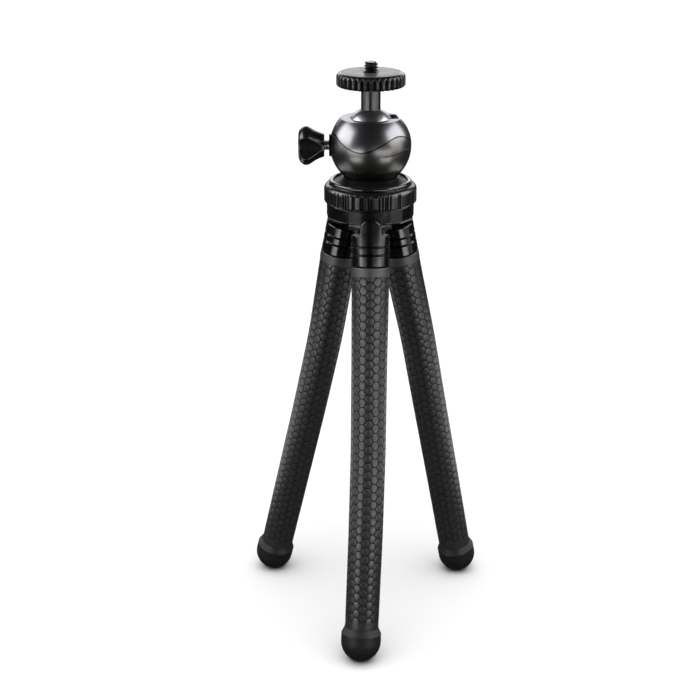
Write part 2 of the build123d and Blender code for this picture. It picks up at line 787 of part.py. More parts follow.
with BuildPart() as socket_screws:
    for azimuth, leans, drifts in legs.values():
        screw_place = hub_place + outward(azimuth) * socket_screw_reach
        with BuildSketch(Plane(origin=screw_place + up * screw_head_z)):
            Circle(socket_screw_head_radius)
        extrude(amount=socket_screw_head_height - running_clearance)
        with BuildSketch(Plane(origin=screw_place + up * (tongue_top_z - socket_screw_bite))):
            Circle(socket_screw_radius)
        extrude(amount=screw_head_z - tongue_top_z + socket_screw_bite)
socket_screws.part.label = "socket_screws"
export_step(socket_screws.part, "parts/socket_screws.step")


# The legs, each from its socket in the hub down to its foot
mouth = socket_length
band_place = socket_length + bend_clearance
ferrule_centre = band_place + band_height
rim_angle = bend_limit_angle + bend_spare_angle
rim_slope = tan(radians(rim_angle))

for leg, (azimuth, leans, drifts) in legs.items():
    shoulder, along_socket, points = leg_points(azimuth, leans, drifts)
    shoulder = shoulder + hub_place
    points = [point + hub_place for point in points]
    inward = outward(azimuth + quarter_turn).cross(along_socket)
    socket_profile = turning_plane(shoulder, along_socket, inward)
    socket_axis = Axis(shoulder, along_socket)

    # Tongue: an arch that carries the wall of the socket's collar up into the notch
    with BuildPart() as tongue:
        tongue_root = tongue_arch_z - shoulder.Z + tongue_root_depth
        with BuildSketch(tongue_plane(azimuth, tongue_inner_reach)):
            Circle(tongue_width / 2)
            with Locations((0, -tongue_root / 2)):
                Rectangle(tongue_width, tongue_root)
        extrude(amount=hub_radius)
        tongue_foot = shoulder + along_socket * socket_radius
        with BuildSketch(Plane(origin=tongue_foot, x_dir=inward, z_dir=-along_socket)):
            Circle(socket_radius)
        extrude(amount=socket_radius + hub_radius, mode=Mode.INTERSECT)

    # Socket: a grooved collar under the tongue
    with BuildPart() as leg_socket:
        with BuildSketch(socket_profile):
            groove_half = socket_groove_width / 2
            wall = [(socket_radius, 0)]
            for share in socket_grooves_share:
                wall.append((socket_radius, share * socket_length - groove_half))
                wall.append((socket_radius - socket_groove_depth, share * socket_length))
                wall.append((socket_radius, share * socket_length + groove_half))
            wall.append((socket_radius, mouth - socket_mouth_chamfer))
            wall.append((socket_radius - socket_mouth_chamfer, mouth))
            Polygon((0, 0), *wall, (0, mouth), align=None)
        revolve(axis=socket_axis)
        add(tongue.part)
        roots = leg_socket.edges().filter_by(GeomType.LINE)
        roots = [root for root in roots if abs((root.center() - shoulder).dot(along_socket)) < face_clearance]
        fillet(roots, tongue_root_fillet)
        rims = leg_socket.edges().filter_by(GeomType.CIRCLE)
        rims = [rim for rim in rims if abs((rim.arc_center - shoulder).dot(along_socket)) < face_clearance]
        rims = [rim for rim in rims if abs(rim.radius - socket_radius) < face_clearance]
        fillet(rims, socket_shoulder_fillet)
        with BuildSketch(Plane(origin=shoulder + along_socket * mouth, z_dir=-along_socket)):
            Circle(ferrule_radius + running_clearance)
        extrude(amount=ferrule_insert + running_clearance, mode=Mode.SUBTRACT)
        screw_place = hub_place + outward(azimuth) * socket_screw_reach
        with BuildSketch(Plane(origin=screw_place + up * (tongue_top_z - socket_screw_bite))):
            Circle(socket_screw_radius)
        extrude(amount=socket_screw_bite + overrun, mode=Mode.SUBTRACT)
    leg_socket.part.label = f"{leg}_socket"
    export_step(leg_socket.part, f"parts/{leg}_socket.step")

    # Ferrule: it turns in the socket, and its round end carries the first bend
    with BuildPart() as leg_ferrule:
        with BuildSketch(socket_profile):
            with BuildLine():
                Polyline(
                    (0, mouth - ferrule_insert),
                    (ferrule_radius, mouth - ferrule_insert),
                    (ferrule_radius, band_place),
                    (ferrule_neck_radius, band_place),
                    (ferrule_neck_radius, ferrule_centre),
                    (sleeve_radius, ferrule_centre),
                )
                RadiusArc(
                    (sleeve_radius, ferrule_centre), (0, ferrule_centre + sleeve_radius), -sleeve_radius
                )
                Line((0, ferrule_centre + sleeve_radius), (0, mouth - ferrule_insert))
            make_face()
        revolve(axis=socket_axis)
    leg_ferrule.part.label = f"{leg}_ferrule"
    export_step(leg_ferrule.part, f"parts/{leg}_ferrule.step")

    # Smooth band round the ferrule
    with BuildPart() as leg_band:
        with BuildSketch(Plane(origin=shoulder + along_socket * band_place, z_dir=along_socket)):
            Circle(band_radius)
        extrude(amount=band_height)
        fillet(leg_band.edges(), band_fillet)
        with BuildSketch(Plane(origin=shoulder + along_socket * band_place, z_dir=along_socket)):
            Circle(ferrule_neck_radius)
        extrude(amount=band_height, mode=Mode.SUBTRACT)
    leg_band.part.label = f"{leg}_band"
    export_step(leg_band.part, f"parts/{leg}_band.step")

    # Sleeves and wire cores, with a round lower end in a hollow upper end at each bend point
    for number in range(len(leans)):
        top = points[number]
        along = (points[number + 1] - top).normalized()
        length = (points[number + 1] - top).length
        profile = turning_plane(top, along)
        axis = Axis(top, along)
        head_radius, tail_radius = [sleeve_radius * share for share in sleeve_taper_shares[number : number + 2]]
        cup_radius = head_radius + bend_clearance
        last = number == len(leans) - 1
        sleeve_end = length - foot_band_height - foot_chamfer_height if last else length
        rim_radius = head_radius / (1 - (tail_radius - head_radius) * rim_slope / sleeve_end)
        cup_rim = (cup_radius * cos(radians(rim_angle)), cup_radius * sin(radians(rim_angle)))
        cup_floor = sphere_radius_at(cup_radius, core_radius)
        dome_end = sleeve_end if last else sleeve_end + sphere_radius_at(tail_radius, core_radius)

        with BuildPart() as leg_sleeve:
            with BuildSketch(profile):
                with BuildLine():
                    RadiusArc((core_radius, cup_floor), cup_rim, cup_radius)
                    Polyline(cup_rim, (rim_radius, rim_radius * rim_slope), (tail_radius, sleeve_end))
                    if last:
                        Line((tail_radius, sleeve_end), (core_radius, dome_end))
                    else:
                        RadiusArc((tail_radius, sleeve_end), (core_radius, dome_end), -tail_radius)
                    Line((core_radius, dome_end), (core_radius, cup_floor))
                make_face()
            revolve(axis=axis)
        leg_sleeve.part.label = f"{leg}_sleeve_{number + 1}"
        export_step(leg_sleeve.part, f"parts/{leg}_sleeve_{number + 1}.step")

        with BuildPart() as leg_core:
            with BuildSketch(profile):
                with BuildLine():
                    RadiusArc((0, cup_radius), (core_radius, cup_floor), cup_radius)
                    if last:
                        Polyline((core_radius, cup_floor), (core_radius, length), (0, length))
                        Line((0, length), (0, cup_radius))
                    else:
                        Line((core_radius, cup_floor), (core_radius, dome_end))
                        RadiusArc((core_radius, dome_end), (0, length + tail_radius), -tail_radius)
                        Line((0, length + tail_radius), (0, cup_radius))
                make_face()
            revolve(axis=axis)
        leg_core.part.label = f"{leg}_core_{number + 1}"
        export_step(leg_core.part, f"parts/{leg}_core_{number + 1}.step")

    # Foot: a round rubber cap on the end of the last segment
    with BuildPart() as leg_foot:
        with BuildSketch(profile):
            with BuildLine():
                Polyline(
                    (0, length),
                    (core_radius, length),
                    (core_radius, sleeve_end),
                    (tail_radius, sleeve_end),
                    (foot_radius, length - foot_band_height),
                    (foot_radius, length),
                )
                RadiusArc((foot_radius, length), (0, length + foot_radius), -foot_radius)
                Line((0, length + foot_radius), (0, length))
            make_face()
        revolve(axis=axis)
    leg_foot.part.label = f"{leg}_foot"
    export_step(leg_foot.part, f"parts/{leg}_foot.step")
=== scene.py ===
# %% [markdown]
# # A small tripod with bendable legs
# The solids of the tripod are already made. They come in as a fixed frame: each one sits on a body
# that a joint can move. This lesson dresses that frame with fine shapes and finishes, so every new
# piece is placed from the frame's own numbers, in metres, and all but the leg sleeves ride on one of
# its bodies.

# %% Load the frame
import json
from math import atan2, cos, degrees, pi, radians, sin, sqrt, tan, tau

import bmesh
import bpy
from mathutils import Matrix, Vector


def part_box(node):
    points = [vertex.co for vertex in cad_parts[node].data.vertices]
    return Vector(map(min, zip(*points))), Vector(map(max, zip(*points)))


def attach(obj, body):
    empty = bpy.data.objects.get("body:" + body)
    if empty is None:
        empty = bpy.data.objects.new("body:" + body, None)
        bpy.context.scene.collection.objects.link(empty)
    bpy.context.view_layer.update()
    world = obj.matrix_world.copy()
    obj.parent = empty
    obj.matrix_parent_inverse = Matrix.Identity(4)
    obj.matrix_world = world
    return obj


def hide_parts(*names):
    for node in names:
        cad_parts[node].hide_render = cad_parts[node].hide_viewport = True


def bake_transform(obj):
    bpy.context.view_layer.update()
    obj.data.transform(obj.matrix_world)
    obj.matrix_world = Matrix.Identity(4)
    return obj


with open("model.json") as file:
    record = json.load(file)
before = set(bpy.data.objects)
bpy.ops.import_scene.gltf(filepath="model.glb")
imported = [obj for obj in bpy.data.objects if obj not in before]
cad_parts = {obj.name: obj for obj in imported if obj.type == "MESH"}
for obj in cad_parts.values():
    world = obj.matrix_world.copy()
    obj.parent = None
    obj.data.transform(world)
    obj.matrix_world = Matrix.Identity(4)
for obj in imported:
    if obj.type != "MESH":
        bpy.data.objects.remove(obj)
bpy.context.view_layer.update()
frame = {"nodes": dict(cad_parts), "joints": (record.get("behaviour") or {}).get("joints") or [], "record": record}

nodes = frame["nodes"]
joints = {joint["name"]: joint for joint in frame["joints"]}
up = Vector((0, 0, 1))
mm = 0.001

# %% [markdown]
# ## Places that the pieces share
# The head, the hub and the lock ring all turn about one upright axis. Reading it from the joint
# keeps every turned piece centred, and the heights come from the solids that the pieces stand for.

# %% Find the axis and the heights
hub_x, hub_y = joints["head_pan"]["pos_m"][:2]
hub_axis = Vector((hub_x, hub_y, 0))
ball_centre = Vector(joints["ball_tilt"]["pos_m"])
clamp_centre = Vector(joints["knob_turn"]["pos_m"])
legs = ("front", "right", "left")


def low(node):
    """The lowest height of a solid."""
    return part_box(node)[0].z


def high(node):
    """The highest height of a solid."""
    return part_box(node)[1].z


print("The hub's axis stands at", round(hub_x / mm, 2), round(hub_y / mm, 2), "mm")

# %% [markdown]
# ## Turned shapes
# Most of the head was made on a lathe or in a round mould. A lathe shape is half of an outline spun
# round an axis, so one helper takes the outline as radius and height pairs. Corners are rounded by
# a bevel before the spin, because no real edge is sharp and a small round catches the light.


# %% Spin a half outline
def begin_outline(outline, rounds=None):
    """A bmesh with the outline as a chain of edges in the XZ plane, its corners rounded."""
    bm = bmesh.new()
    points = [bm.verts.new((radius, 0, height)) for radius, height in outline]
    for first, second in zip(points, points[1:]):
        bm.edges.new((first, second))
    for size, numbers in (rounds or {}).items():
        bmesh.ops.bevel(
            bm, geom=[points[number] for number in numbers], offset=size, segments=4,
            affect="VERTICES", profile=0.5, material=-1,
        )
    return bm


def spin_outline(outline, rounds=None, steps=128):
    """A closed turned shape about Z, from an outline that ends on the axis or meets itself."""
    bm = begin_outline(outline, rounds)
    bmesh.ops.spin(
        bm, geom=bm.verts[:] + bm.edges[:], cent=(0, 0, 0), axis=(0, 0, 1), dvec=(0, 0, 0),
        angle=tau, steps=steps, use_merge=True, use_duplicate=False,
    )
    bmesh.ops.remove_doubles(bm, verts=bm.verts, dist=1e-6)
    bmesh.ops.dissolve_degenerate(bm, edges=bm.edges, dist=1e-7)
    bmesh.ops.recalc_face_normals(bm, faces=bm.faces)
    return bm


def finish_piece(bm, name, place=Matrix.Identity(4), smooth_below=35):
    """The bmesh as an object at the origin, its place in its mesh, its round faces smooth."""
    bmesh.ops.transform(bm, matrix=place, verts=bm.verts)
    mesh = bpy.data.meshes.new(name)
    bm.to_mesh(mesh)
    bm.free()
    mesh.shade_smooth()
    mesh.set_sharp_from_angle(angle=radians(smooth_below))
    piece = bpy.data.objects.new(name, mesh)
    bpy.context.scene.collection.objects.link(piece)
    print(name, "has", len(mesh.polygons), "faces")
    return piece


def frame_along(origin, along, across):
    """A matrix whose Z runs along an axis and whose X points across it."""
    z = along.normalized()
    x = (across - z * across.dot(z)).normalized()
    turn = Matrix((x, z.cross(x), z)).transposed().to_4x4()
    return Matrix.Translation(origin) @ turn


on_hub_axis = Matrix.Translation(hub_axis)

# %% [markdown]
# ## Sums on shader sockets
# A finish is a small network of nodes. Written as node calls, even one sum takes three lines, so
# this class wraps an output and lets Python's own signs add the Math nodes. The reflected forms
# make `1 - mask` work as well as `mask - 1`.


# %% Wrap a node's output
class Wire:
    """A node's output that can stand in a sum."""

    def __init__(self, finish, socket):
        self.finish, self.socket = finish, socket

    def maths(self, operation, first, second):
        return self.finish.maths(operation, first, second)

    def __add__(self, other):
        return self.maths("ADD", self, other)

    def __radd__(self, other):
        return self.maths("ADD", other, self)

    def __sub__(self, other):
        return self.maths("SUBTRACT", self, other)

    def __rsub__(self, other):
        return self.maths("SUBTRACT", other, self)

    def __mul__(self, other):
        return self.maths("MULTIPLY", self, other)

    def __rmul__(self, other):
        return self.maths("MULTIPLY", other, self)


class Finish:
    """A material with one Principled shader, and the nodes that vary it."""

    def __init__(self, name, **constants):
        self.name, self.material = name, bpy.data.materials.new(name)
        self.material.use_nodes = True
        self.tree = self.material.node_tree
        self.tree.nodes.clear()
        self.shader = self.tree.nodes.new("ShaderNodeBsdfPrincipled")
        output = self.tree.nodes.new("ShaderNodeOutputMaterial")
        self.tree.links.new(self.shader.outputs["BSDF"], output.inputs["Surface"])
        self.set(**constants)

    def node(self, kind, settings=None, inputs=None, output=0):
        """Adds a node, sets its settings, fills or links its sockets, and returns one output."""
        node = self.tree.nodes.new(kind)
        for name, value in (settings or {}).items():
            if name == "stops":
                for number, (position, shade) in enumerate(value):
                    elements = node.color_ramp.elements
                    stop = elements[number] if number < 2 else elements.new(position)
                    stop.position, stop.color = position, (shade, shade, shade, 1)
            else:
                setattr(node, name, value)
        for name, value in (inputs or {}).items():
            self.fill(node.inputs[name], value)
        return Wire(self, node.outputs[output])

    def fill(self, socket, value):
        """Links a wire to a socket, or sets the socket's own value."""
        if isinstance(value, Wire):
            self.tree.links.new(value.socket, socket)
        else:
            needs_alpha = socket.type == "RGBA" and len(value) == 3
            socket.default_value = (*value, 1) if needs_alpha else value

    def set(self, **sockets):
        """Fills sockets of the shader, named in lower case with low lines."""
        for name, value in sockets.items():
            self.fill(self.shader.inputs[name.replace("_", " ").title()], value)

    def dull(self, level):
        """Sets how strongly the surface reflects, where a half is usual for plastics."""
        self.shader.inputs["Specular IOR Level"].default_value = level

    def maths(self, operation, first, second=0):
        """A Math node on one number or two."""
        return self.node("ShaderNodeMath", {"operation": operation}, {0: first, 1: second})

    def spots(self, size, detail=2.0, rough=0.5, stretch=(1, 1, 1)):
        """Noise from 0 to 1 whose patches are about a size across, in metres of the object."""
        place = self.node("ShaderNodeTexCoord", output="Object")
        place = self.node("ShaderNodeMapping", {}, {"Vector": place, "Scale": stretch})
        inputs = {"Vector": place, "Scale": 1 / size, "Detail": detail, "Roughness": rough}
        return self.node("ShaderNodeTexNoise", {}, inputs)

    def noted(self, attribute):
        """The number that a piece's mesh notes on each of its points."""
        return self.node("ShaderNodeAttribute", {"attribute_name": attribute}, output="Fac")

    def grade(self, value, *stops):
        """Maps a value through a ramp of positions and shades."""
        return self.node("ShaderNodeValToRGB", {"stops": stops}, {"Fac": value})

    def blend(self, share, first, second):
        """A colour between two, by a share."""
        settings = {"data_type": "RGBA", "blend_type": "MIX"}
        return self.node("ShaderNodeMix", settings, {0: share, 6: first, 7: second}, output=2)

    def bump(self, height, depth):
        """A normal from a height of 0 to 1 that stands for a depth in metres."""
        inputs = {"Height": height, "Distance": depth, "Strength": 1.0}
        return self.node("ShaderNodeBump", {}, inputs)


# %% [markdown]
# ## Moulded plastic
# The hub and the sockets are polished black mouldings: nearly mirror smooth, with faint scuffs that
# widen their highlights in patches. The lock ring, the wheel and the knob came from a mould with a
# fine sparked grain, which scatters light, so they get the same black with a grain in their normal.
# A groove's floor catches less light than the ribs beside it, and that shade is painted in. The
# groove cutter further down notes on each point how deeply it was pressed, and this finish reads
# that note to paint the floors dark.

# %% Make the plastics
gloss_black = Finish("gloss_black", base_color=(0.0015, 0.0015, 0.0015))
scuffs = gloss_black.grade(gloss_black.spots(6 * mm, 4.0, 0.6), (0.35, 0.0), (0.75, 1.0))
ripple = gloss_black.spots(4 * mm, 1.0)
gloss_black.set(
    roughness=0.13 + scuffs * 0.08,
    normal=gloss_black.bump(ripple, 0.01 * mm),
)

matte_black = Finish("matte_black")
grain = matte_black.spots(0.22 * mm, 2.0)
wear = matte_black.grade(matte_black.spots(5 * mm, 5.0, 0.65), (0.45, 0.0), (0.8, 1.0))
# Painted shade: where a groove was pressed, the black turns rough and metallic, so the floors reflect almost
# nothing.
pressed = matte_black.noted("pressed")
matte_black.set(
    base_color=matte_black.blend(wear, (0.003, 0.003, 0.003), (0.006, 0.006, 0.006)),
    roughness=0.20 + grain * 0.10 + pressed * 0.5,
    metallic=pressed,
    normal=matte_black.bump(grain, 0.01 * mm),
)
matte_black.dull(0.5)

nylon = Finish("nylon")
nylon_spots = nylon.spots(2 * mm)
nylon.set(
    base_color=nylon.blend(nylon_spots, (0.70, 0.68, 0.62), (0.80, 0.79, 0.74)),
    roughness=0.45 + nylon_spots * 0.1,
)

# %% [markdown]
# ## Metal
# Turned metal keeps fine rings round its axis from the cutting tool. Noise that is stretched level
# and squeezed along Z gives such rings on any upright turned piece, without its own mapping.
# Plated pieces hide the rings, and only their highlights waver.


# %% Make the metals
def turned_metal(name, colour, roughness, ring_depth=0.004 * mm):
    """Metal with fine level rings and a few smudges."""
    finish = Finish(name, metallic=1.0)
    rings = finish.spots(20 * mm, 3.0, 0.7, stretch=(0.05, 0.05, 120))
    smudges = finish.grade(finish.spots(7 * mm, 4.0, 0.6), (0.4, 0.0), (0.7, 1.0))
    darker = tuple(part * 0.8 for part in colour)
    finish.set(
        base_color=finish.blend(smudges, colour, darker),
        roughness=roughness + smudges * 0.08 + rings * 0.06,
        normal=finish.bump(rings, ring_depth),
    )
    return finish


stem_steel = turned_metal("stem_steel", (0.055, 0.055, 0.056), 0.26)
dark_steel = turned_metal("dark_steel", (0.045, 0.038, 0.032), 0.26)
bright_steel = turned_metal("bright_steel", (0.85, 0.83, 0.80), 0.30)
fastener_steel = turned_metal("fastener_steel", (0.45, 0.45, 0.44), 0.28)
core_wire = turned_metal("core_wire", (0.72, 0.72, 0.71), 0.35)
brass_insert = turned_metal("brass_insert", (0.30, 0.22, 0.12), 0.3)
ferrule_metal = turned_metal("ferrule_metal", (0.05, 0.05, 0.05), 0.4)
dark_chrome = turned_metal("dark_chrome", (0.38, 0.38, 0.40), 0.26, 0.001 * mm)

# %% [markdown]
# The flange is painted black, so it reflects little and looks the darkest of all. Hands have
# polished its rim, which gets a clear coat from a radius on, measured from the hub's axis.

# %% Make the flange's paint
polished_from = 16.8 * mm
polish_edge = 0.3 * mm
flange_metal = Finish("flange_metal")
flange_place = flange_metal.node("ShaderNodeTexCoord", output="Object")
for operation, by in (("SUBTRACT", (hub_x, hub_y, 0)), ("MULTIPLY", (1, 1, 0))):
    inputs = {"Vector": flange_place, 1: by}
    flange_place = flange_metal.node("ShaderNodeVectorMath", {"operation": operation}, inputs)
flange_reach = flange_metal.node(
    "ShaderNodeVectorMath", {"operation": "LENGTH"}, {"Vector": flange_place}, "Value",
)
past_rim = (flange_reach - polished_from) * (1 / polish_edge)
flange_wear = flange_metal.grade(flange_metal.spots(6 * mm, 4.0, 0.6), (0.4, 0.0), (0.75, 1.0))
flange_metal.set(
    base_color=flange_metal.blend(flange_wear, (0.004, 0.004, 0.004), (0.008, 0.008, 0.008)),
    roughness=0.28 + flange_wear * 0.06,
    coat_weight=flange_metal.grade(past_rim, (0.0, 0.0), (1.0, 1.0)),
)
flange_metal.dull(0.06)

# %% [markdown]
# The two halves of the housing are satin metal. The wavy seam between them is a dark line, the slot
# gets painted shade, the end of the clamp boss is dark, and two short mould lines cross the lower
# half, one as a painted shade line and one as a painted highlight line. All of these follow numbers
# of the solids, so they are drawn from the place of each point.


# %% Make the housing's metal
seam_middle = ball_centre.z - 3.25 * mm
seam_wave = 3.1 * mm
seam_width = 0.42 * mm
boss_reach = 17.5 * mm
slot_turn = radians(12)
slot_half_width = 4.8 * mm
slot_bottom = ball_centre.z - 3 * mm
# Near black for the dark seam and boss end, and for painted shade in the slot and along a mould line.
seam_and_shade_black = (0.006, 0.006, 0.006)
# Light grey for the painted highlight along one mould line.
painted_crease_highlight = (0.45, 0.45, 0.45)


def housing_metal(name, colour, roughness):
    """Satin metal, its seam and boss end dark, the slot and the mould lines in painted light and shade."""
    finish = Finish(name, metallic=1.0)
    place = finish.node("ShaderNodeTexCoord", output="Object")
    across, deep, height = (
        finish.node("ShaderNodeSeparateXYZ", {}, {"Vector": place}, output=side) for side in "XYZ"
    )
    across, deep = across - hub_x, deep - hub_y
    azimuth = finish.maths("ARCTAN2", deep, across)

    def band(value, middle, width):
        """One at a middle value, nothing from a width away."""
        away = finish.maths("ABSOLUTE", value - middle)
        return finish.grade(away * (1 / width), (0.0, 1.0), (1.0, 0.0))

    def beyond(value, limit, width):
        """Nothing below a limit, one from a width above it."""
        return finish.grade((value - limit) * (1 / width), (0.0, 0.0), (1.0, 1.0))

    def mould_line(slope, rise, width, first, last):
        """A short line round the shell, from its slope a radian and its rise over the clamp."""
        line = band(height, azimuth * slope + (clamp_centre.z + rise), width)
        started, ended = beyond(azimuth, radians(first), 0.08), beyond(azimuth, radians(last), 0.08)
        return line * started * (1 - ended)

    wave = finish.maths("COSINE", azimuth * 3 + radians(135))
    seam = band(height, seam_middle + wave * seam_wave, seam_width)
    boss_end = beyond(across * -1, boss_reach, 0.1 * mm)
    aside = deep * cos(slot_turn) - across * sin(slot_turn)
    outward = across * cos(slot_turn) + deep * sin(slot_turn)
    outside = beyond(finish.maths("ABSOLUTE", aside), slot_half_width, 0.05 * mm)
    # Painted shade: the slot's walls are darkened as if in shadow.
    slot = (1 - outside) * beyond(outward, 5 * mm, mm) * beyond(height, slot_bottom, 0.1 * mm)
    # The mould lines are drawn in painted light: the lower one as a painted shade line, the upper one as a painted
    # highlight line.
    mould_shade_line = mould_line(1.565 * mm, 0.423 * mm, 0.42 * mm, -75, -37)
    mould_highlight_line = mould_line(-1.605 * mm, -0.595 * mm, 0.3 * mm, -40, -12)
    smudges = finish.grade(finish.spots(7 * mm, 4.0, 0.6), (0.4, 0.0), (0.7, 1.0))
    shade = finish.blend(smudges, colour, tuple(part * 0.93 for part in colour))
    # The painted highlight line goes on first, then the dark seam and boss end and the painted shade of the slot
    # and the lower mould line.
    shade = finish.blend(mould_highlight_line, shade, painted_crease_highlight)
    for dark in (seam, boss_end * 0.85, slot * 0.9, mould_shade_line):
        shade = finish.blend(dark, shade, seam_and_shade_black)
    finish.set(base_color=shade, roughness=roughness + smudges * 0.02)
    return finish


shell_upper = housing_metal("shell_upper", (0.155, 0.155, 0.165), 0.28)
shell_lower = housing_metal("shell_lower", (0.105, 0.101, 0.096), 0.28)

# %% [markdown]
# ## Rubber
# The bands, feet, pad and sleeves are rubber: dark, soft in its highlights, and a little dusty. The
# dust gathers in patches, so a slow noise lifts the colour and a fine one breaks up the highlight.
# On the sleeves only the crowns of the scales are rubbed and dusty, and the valleys between them
# get painted shade. Each point notes how high it stands on its scale, and the low points are
# painted near black and reflect little.


# %% Make the rubbers
rubber_grain = 0.4 * mm
rubber_relief = 0.012 * mm


def soft_rubber(name, dark, light, roughness):
    """Rubber with a fine bloom and a slight grain."""
    finish = Finish(name)
    bloom = finish.grade(finish.spots(4 * mm, 5.0, 0.7), (0.35, 0.0), (0.75, 1.0))
    skin = finish.spots(rubber_grain, 2.0)
    finish.set(
        base_color=finish.blend(bloom, dark, light),
        roughness=roughness + skin * 0.12,
        normal=finish.bump(skin, rubber_relief),
    )
    return finish


sleeve_rubber = Finish("sleeve_rubber")
crown = sleeve_rubber.grade(sleeve_rubber.noted("crown"), (0.1, 0.0), (0.7, 1.0))
dust = sleeve_rubber.spots(4 * mm, 5.0, 0.7)
dusty = sleeve_rubber.blend(dust, (0.014, 0.014, 0.014), (0.026, 0.025, 0.023))
# Painted shade: the valleys are near black and half metallic on that black, so they reflect little.
sleeve_rubber.set(
    base_color=sleeve_rubber.blend(crown, (0.005, 0.005, 0.005), dusty),
    roughness=0.62 - crown * 0.28,
    metallic=(1 - crown) * 0.45,
    normal=sleeve_rubber.bump(sleeve_rubber.spots(rubber_grain, 2.0), rubber_relief),
)
band_rubber = soft_rubber("band_rubber", (0.032, 0.032, 0.033), (0.040, 0.040, 0.040), 0.36)
foot_rubber = soft_rubber("foot_rubber", (0.006, 0.006, 0.006), (0.010, 0.010, 0.010), 0.42)
pad_rubber = soft_rubber("pad_rubber", (0.05, 0.05, 0.05), (0.07, 0.07, 0.07), 0.30)
foot_rubber.dull(0.3)

# %% [markdown]
# ## Finishes for the solids that stay
# A solid whose shape is right only needs its finish. The record names a slot for each node, and the
# finishes above carry the same names, so one loop hands them out.

# %% Give every solid its finish
finishes = {
    finish.name: finish.material
    for finish in (
        gloss_black, matte_black, nylon, stem_steel, dark_steel, bright_steel, fastener_steel,
        core_wire, brass_insert, ferrule_metal, dark_chrome, flange_metal, shell_upper,
        shell_lower, sleeve_rubber, band_rubber, foot_rubber, pad_rubber,
    )
}
for subpart in frame["record"]["subparts"]:
    nodes[subpart["node"]].material_slots[0].material = finishes[subpart["material_slot"]]


def dress(piece, body, slot, *replaced):
    """Gives a piece its finish and its body, and hides the solids that it stands for."""
    piece.data.materials.append(finishes[slot])
    if body:
        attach(piece, body)
    if replaced:
        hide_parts(*replaced)
    return piece


# %% [markdown]
# ## Screw threads
# A thread is one V cut that winds along a rod. One pitch of its outline is spun, and rises by a
# pitch a turn: the last line of each turn lands on the first line of the next, so merging doubles
# closes the skin. Two level cuts then trim the ends to length.


# %% Wind a thread
camera_pitch = 1.27 * mm
clamp_pitch = 0.8 * mm


def wind_thread(radius, pitch, bottom, top, lead_in, steps=36):
    """A threaded rod about Z between two heights, its crests at a radius, a lead-in at the top."""
    depth = 0.61 * pitch
    crest = pitch / 8
    flank = (pitch - 2 * crest) / 2
    outline = [(radius, 0), (radius, crest), (radius - depth, crest + flank)]
    outline += [(radius - depth, 2 * crest + flank), (radius, pitch)]
    bm = begin_outline(outline)
    turns = int((top - bottom) / pitch) + 3
    bmesh.ops.spin(
        bm, geom=bm.verts[:] + bm.edges[:], cent=(0, 0, 0), axis=(0, 0, 1),
        dvec=(0, 0, pitch / steps), angle=tau * turns, steps=steps * turns,
        use_merge=False, use_duplicate=False,
    )
    bmesh.ops.remove_doubles(bm, verts=bm.verts, dist=pitch / 50)
    bmesh.ops.translate(bm, vec=(0, 0, bottom - 1.5 * pitch), verts=bm.verts)
    for height, side in ((bottom, -1), (top, 1)):
        cut = bmesh.ops.bisect_plane(
            bm, geom=bm.verts[:] + bm.edges[:] + bm.faces[:], plane_co=(0, 0, height),
            plane_no=(0, 0, side), clear_outer=True,
        )
        rim = [item for item in cut["geom_cut"] if isinstance(item, bmesh.types.BMEdge)]
        bmesh.ops.contextual_create(bm, geom=rim)
    for vert in bm.verts:
        reach = Vector((vert.co.x, vert.co.y)).length
        limit = max(radius - max(0, vert.co.z - (top - lead_in)), radius - depth)
        if reach > limit:
            vert.co.x *= limit / reach
            vert.co.y *= limit / reach
    bmesh.ops.recalc_face_normals(bm, faces=bm.faces)
    return bm


screw_low, screw_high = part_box("camera_screw")
screw_radius = (screw_high.x - screw_low.x) / 2
camera_thread = finish_piece(
    wind_thread(screw_radius, camera_pitch, screw_low.z, screw_high.z, 0.7 * mm), "camera_thread",
    on_hub_axis, 30,
)
dress(camera_thread, "head_stem", "dark_steel", "camera_screw")

screw_low, screw_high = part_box("clamp_screw")
screw_radius = (screw_high.z - screw_low.z) / 2
screw_length = screw_high.x - screw_low.x
clamp_start = Vector((screw_high.x, clamp_centre.y, clamp_centre.z))
clamp_thread = finish_piece(
    wind_thread(screw_radius, clamp_pitch, 0, screw_length, 0.2 * mm), "clamp_thread",
    frame_along(clamp_start, Vector((-1, 0, 0)), up), 30,
)
dress(clamp_thread, "clamp_grip", "bright_steel", "clamp_screw")

# %% [markdown]
# ## Turned pieces of the head
# The flange is a shallow cone, a little hollow, with a thick rounded rim that catches the light.
# The wheel and the lock ring are turned first, with enough rows down their sides, and then every
# groove is cut by moving the points near it towards the axis. A groove ends in a round like the end
# of a ball cutter, which leaves the small arches on the shoulder.


# %% Cut grooves round a turned piece
def scaled(outline, base):
    """An outline in millimetres above a base height, as metres."""
    return [(radius * mm, base + height * mm) for radius, height in outline]


def arc_points(centre, radius, start, end, count):
    """Points along an arc from one angle to another, in degrees from the outward direction."""
    angles = [radians(start + (end - start) * number / count) for number in range(count + 1)]
    return [(centre[0] + radius * cos(angle), centre[1] + radius * sin(angle)) for angle in angles]


